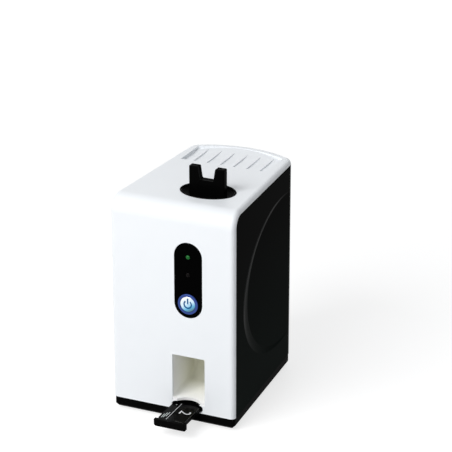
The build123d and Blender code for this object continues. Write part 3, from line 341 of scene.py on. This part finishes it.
def strip(bm, left, right, rise):
    """A thin raised strip between two rows of points. Its top lies the vector rise above them."""
    low = [(bm.verts.new(a), bm.verts.new(b)) for a, b in zip(left, right)]
    top = [(bm.verts.new(a + rise), bm.verts.new(b + rise)) for a, b in zip(left, right)]
    for i in range(len(low) - 1):
        bm.faces.new((top[i][0], top[i][1], top[i + 1][1], top[i + 1][0]))
        bm.faces.new((low[i][0], top[i][0], top[i + 1][0], low[i + 1][0]))
        bm.faces.new((low[i][1], low[i + 1][1], top[i + 1][1], top[i][1]))
    for i in (0, -1):
        bm.faces.new((low[i][0], low[i][1], top[i][1], top[i][0]))


def steps(start, end, count):
    """Even steps from start to end, both of them included."""
    return [start + (end - start) * i / count for i in range(count + 1)]


# Power symbol on the button cap
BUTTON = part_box("power_button")
BUTTON_X = (BUTTON[0].x + BUTTON[1].x) / 2
BUTTON_Z = (BUTTON[0].z + BUTTON[1].z) / 2


def on_cap(u, v):
    """A point on the cap's face, u to the right and v up from its middle."""
    sag = min(CAP_HOLLOW, CAP_HOLLOW_R - math.sqrt(CAP_HOLLOW_R ** 2 - u * u - v * v))
    return Vector((BUTTON_X + u, BUTTON[0].y + CAP_HOLLOW - sag, BUTTON_Z + v))


def cap_arc(r, turns):
    return [on_cap(r * math.cos(t), r * math.sin(t)) for t in turns]


def power_symbol():
    """An open ring with a bar in its gap."""
    bm = bmesh.new()
    forward = Vector((0, -PRINT, 0))
    start = math.radians(90 + SYMBOL_OPEN_DEG)
    turns = steps(start, start + math.radians(360 - 2 * SYMBOL_OPEN_DEG), 40)
    strip(bm, cap_arc(SYMBOL_R - STROKE_HALF, turns), cap_arc(SYMBOL_R + STROKE_HALF, turns), forward)
    rows = steps(BAR_TOP, BAR_FOOT, 13)
    strip(bm, [on_cap(-STROKE_HALF, v) for v in rows], [on_cap(STROKE_HALF, v) for v in rows], forward)
    blue = material("symbol_blue", srgb(8, 84, 134), 0.35, mottle=0.02, grain_mm=0.3,
                    grain_deep_mm=0.002, specular=0.12)
    return mesh_piece("power_symbol", bm, blue, "button")


power_symbol()


# Print on the imaging plate
def ink(name, colour):
    return material(name, colour, 0.4, mottle=0.02, grain_mm=0.4, grain_deep_mm=0.003)


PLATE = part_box("imaging_plate")
PLATE_UP = Vector((0, 0, PRINT))
INK = ink("plate_ink", srgb(226, 228, 230))
FAINT_INK = ink("plate_faint_ink", srgb(186, 194, 192))
# Grey for the painted highlights along the plate's edges
EDGE_HIGHLIGHT_GREY = ink("painted_edge_highlight", srgb(96, 98, 96))


def plate_point(along_x, back_y):
    """A point on the plate, in mm from its left edge and from its front edge."""
    return Vector((PLATE[0].x + along_x * MM, PLATE[0].y + back_y * MM, PLATE[1].z))


def plate_bar(bm, left, right, front, back):
    """A printed bar over the given reach, in mm from the plate's left and front edges."""
    ys = steps(front, back, 12)
    strip(bm, [plate_point(left, y) for y in ys], [plate_point(right, y) for y in ys], PLATE_UP)


def plate_line():
    """The long line beside the digit."""
    bm = bmesh.new()
    plate_bar(bm, left=9.1, right=9.55, front=1.2, back=40.0)
    return mesh_piece("plate_line", bm, INK, "plate")


def dot_edge(r):
    x, y = DOT_PLACE
    return [plate_point(x + r * math.cos(t), y + r * math.sin(t)) for t in steps(0.0, math.tau, 16)]


def plate_marks():
    """Plain bars where the plate's small print sits, and a ring-shaped dot."""
    bm = bmesh.new()
    for left, front, back in SMALL_PRINT:
        plate_bar(bm, left, left + SMALL_PRINT_WIDTH, front, back)
    strip(bm, dot_edge(DOT_INNER_R), dot_edge(DOT_OUTER_R), PLATE_UP)
    return mesh_piece("plate_marks", bm, FAINT_INK, "plate")


def plate_edge_highlights():
    """Painted highlights: grey hair lines along the plate's right and front edges."""
    bm = bmesh.new()
    plate_bar(bm, left=30.1, right=30.3, front=3.0, back=38.0)
    plate_bar(bm, left=20.0, right=28.0, front=0.7, back=0.9)
    return mesh_piece("plate_edge_highlights", bm, EDGE_HIGHLIGHT_GREY, "plate")


def plate_number():
    """The digit. Its top points to +X, so it reads towards the front."""
    curve = bpy.data.curves.new("plate_number", "FONT")
    curve.body = "2"
    curve.size = NUMBER_SIZE
    curve.extrude = PRINT / 2
    curve.offset = -NUMBER_THINNED
    curve.align_x = "CENTER"
    curve.align_y = "CENTER"
    made = bpy.data.objects.new("number_curve", curve)
    bpy.context.scene.collection.objects.link(made)
    centre = Matrix.Translation(plate_point(*NUMBER_PLACE) + PLATE_UP / 2)
    made.matrix_world = centre @ Matrix.Rotation(math.radians(-90), 4, "Z")
    bpy.context.view_layer.update()
    graph = bpy.context.evaluated_depsgraph_get()
    mesh = bpy.data.meshes.new_from_object(made.evaluated_get(graph))
    mesh.transform(made.matrix_world)
    mesh.materials.clear()
    mesh.materials.append(INK)
    bpy.data.objects.remove(made)
    digit = bpy.data.objects.new("plate_number", mesh)
    bpy.context.scene.collection.objects.link(digit)
    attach(digit, "plate")
    return digit


plate_line()
plate_marks()
plate_edge_highlights()
plate_number()


# Screws in the rear
REAR = BVHTree.FromObject(nodes["rear_panel"], bpy.context.evaluated_depsgraph_get())
REAR_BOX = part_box("rear_panel")


def on_rear(x_mm, z_mm):
    """The place on the bowed rear at this width and height, and the way that it faces."""
    clear_of_rear = REAR_BOX[1].y + 50 * MM
    start = Vector((x_mm * MM, clear_of_rear, z_mm * MM))
    place, faces, _, _ = REAR.ray_cast(start, Vector((0, -1, 0)))
    return place, faces


def screw_head(bm, place, faces):
    """A low domed head with a six-lobed recess."""
    turn = faces.to_track_quat("Z", "Y").to_matrix()
    around = 48
    made = []
    for r, rise, lobe in HEAD_RINGS:
        ring = []
        for i in range(around):
            t = math.tau * i / around
            reach = r + lobe * math.cos(6 * t)
            spot = Vector((reach * math.cos(t), reach * math.sin(t), rise)) * MM
            ring.append(bm.verts.new(place + turn @ spot))
        made.append(ring)
    for inner, outer in zip(made[1:], made):
        for i in range(around):
            j = (i + 1) % around
            bm.faces.new((outer[i], outer[j], inner[j], inner[i]))
    bm.faces.new(made[-1])
    bm.faces.new(list(reversed(made[0])))


def rear_screws():
    """A screw near each corner of the rear."""
    steel = material("screw_black", srgb(58, 59, 61), 0.34, metallic=0.9, mottle=0.05, grain_mm=0.2,
                     grain_deep_mm=0.003)
    bm = bmesh.new()
    for x in (-SCREW_X, SCREW_X):
        for z in SCREW_Z:
            screw_head(bm, *on_rear(x, z))
    return mesh_piece("rear_screws", bm, steel, "chassis")


rear_screws()


# Floor, light and camera
def seen_ray(tree):
    """1 for rays from the camera, and for those that gloss and glass send on."""
    path = node(tree, "ShaderNodeLightPath")
    total = path.outputs["Is Camera Ray"]
    for kind in ("Is Glossy Ray", "Is Transmission Ray"):
        most = node(tree, "ShaderNodeMath", operation="MAXIMUM")
        tree.links.new(total, most.inputs[0])
        tree.links.new(path.outputs[kind], most.inputs[1])
        total = most.outputs[0]
    return total


def by_ray(tree, unseen, seen):
    """One shader for light that bounces on, and another for what is looked at."""
    mix = node(tree, "ShaderNodeMixShader")
    tree.links.new(seen_ray(tree), mix.inputs[0])
    tree.links.new(unseen.outputs[0], mix.inputs[1])
    tree.links.new(seen.outputs[0], mix.inputs[2])
    return mix.outputs[0]


def floor_look():
    """A pale floor that keeps the shadow and goes over into the white background."""
    mat = bpy.data.materials.new("floor")
    mat.use_nodes = True
    tree = mat.node_tree
    tree.nodes.clear()
    out = node(tree, "ShaderNodeOutputMaterial")
    soft = node(tree, "ShaderNodeBsdfDiffuse", Color=(0.7, 0.7, 0.7, 1))
    pale = node(tree, "ShaderNodeBsdfDiffuse", Color=(0.42, 0.42, 0.42, 1))
    glow = node(tree, "ShaderNodeEmission")
    place = node(tree, "ShaderNodeNewGeometry")
    reach = node(tree, "ShaderNodeVectorMath", operation="LENGTH")
    tree.links.new(place.outputs["Position"], reach.inputs[0])
    fade = spread(tree, reach.outputs["Value"], GLOW_NEAR, GLOW_FAR, FADE_START, FADE_END)
    tree.links.new(fade, glow.inputs["Strength"])
    lit = node(tree, "ShaderNodeAddShader")
    tree.links.new(pale.outputs[0], lit.inputs[0])
    tree.links.new(glow.outputs[0], lit.inputs[1])
    tree.links.new(by_ray(tree, soft, lit), out.inputs[0])
    return mat


def floor():
    bm = bmesh.new()
    bmesh.ops.create_grid(bm, x_segments=8, y_segments=8, size=FLOOR_HALF)
    mesh = bpy.data.meshes.new("floor")
    bm.to_mesh(mesh)
    bm.free()
    mesh.materials.append(floor_look())
    obj = bpy.data.objects.new("floor", mesh)
    bpy.context.scene.collection.objects.link(obj)


def world():
    """A dim sky for the light and a white one behind the object."""
    made = bpy.data.worlds.new("studio")
    bpy.context.scene.world = made
    made.use_nodes = True
    tree = made.node_tree
    tree.nodes.clear()
    out = node(tree, "ShaderNodeOutputWorld")
    dim = node(tree, "ShaderNodeBackground", Color=(0.95, 0.97, 1, 1), Strength=0.28)
    white = node(tree, "ShaderNodeBackground", Color=(1, 1, 1, 1), Strength=1.0)
    tree.links.new(by_ray(tree, dim, white), out.inputs[0])


def softbox(name, place, aim, size, watts, in_gloss=True):
    """A large soft lamp. in_gloss says whether glossy surfaces mirror it."""
    light = bpy.data.lights.new(name, "AREA")
    light.shape = "RECTANGLE"
    light.size, light.size_y = size
    light.energy = watts
    obj = bpy.data.objects.new(name, light)
    bpy.context.scene.collection.objects.link(obj)
    obj.location = place
    obj.rotation_euler = (Vector(aim) - Vector(place)).to_track_quat("-Z", "Y").to_euler()
    obj.visible_glossy = in_gloss


def camera():
    data = bpy.data.cameras.new("camera")
    data.sensor_width = 36.0
    data.lens = CAMERA_LENS
    data.clip_start, data.clip_end = 0.05, 50
    obj = bpy.data.objects.new("camera", data)
    bpy.context.scene.collection.objects.link(obj)
    obj.location = CAMERA_PLACE
    obj.rotation_euler = (math.radians(CAMERA_TILT_DEG), 0, math.radians(CAMERA_TURN_DEG))
    bpy.context.scene.camera = obj


floor()
world()
softbox("key", place=(-0.5, -1.55, 1.52), aim=(0, 0, 0.12), size=(1.3, 1.1), watts=38)
softbox("top", place=(-0.1, 0.1, 1.8), aim=(0, 0, 0.2), size=(1.3, 1.3), watts=0.8)
softbox("rear", place=(-0.5, 1.9, 0.8), aim=(0, 0, 0.12), size=(1.2, 1.0), watts=9, in_gloss=False)
camera()
bpy.context.scene.view_settings.view_transform = "Standard"
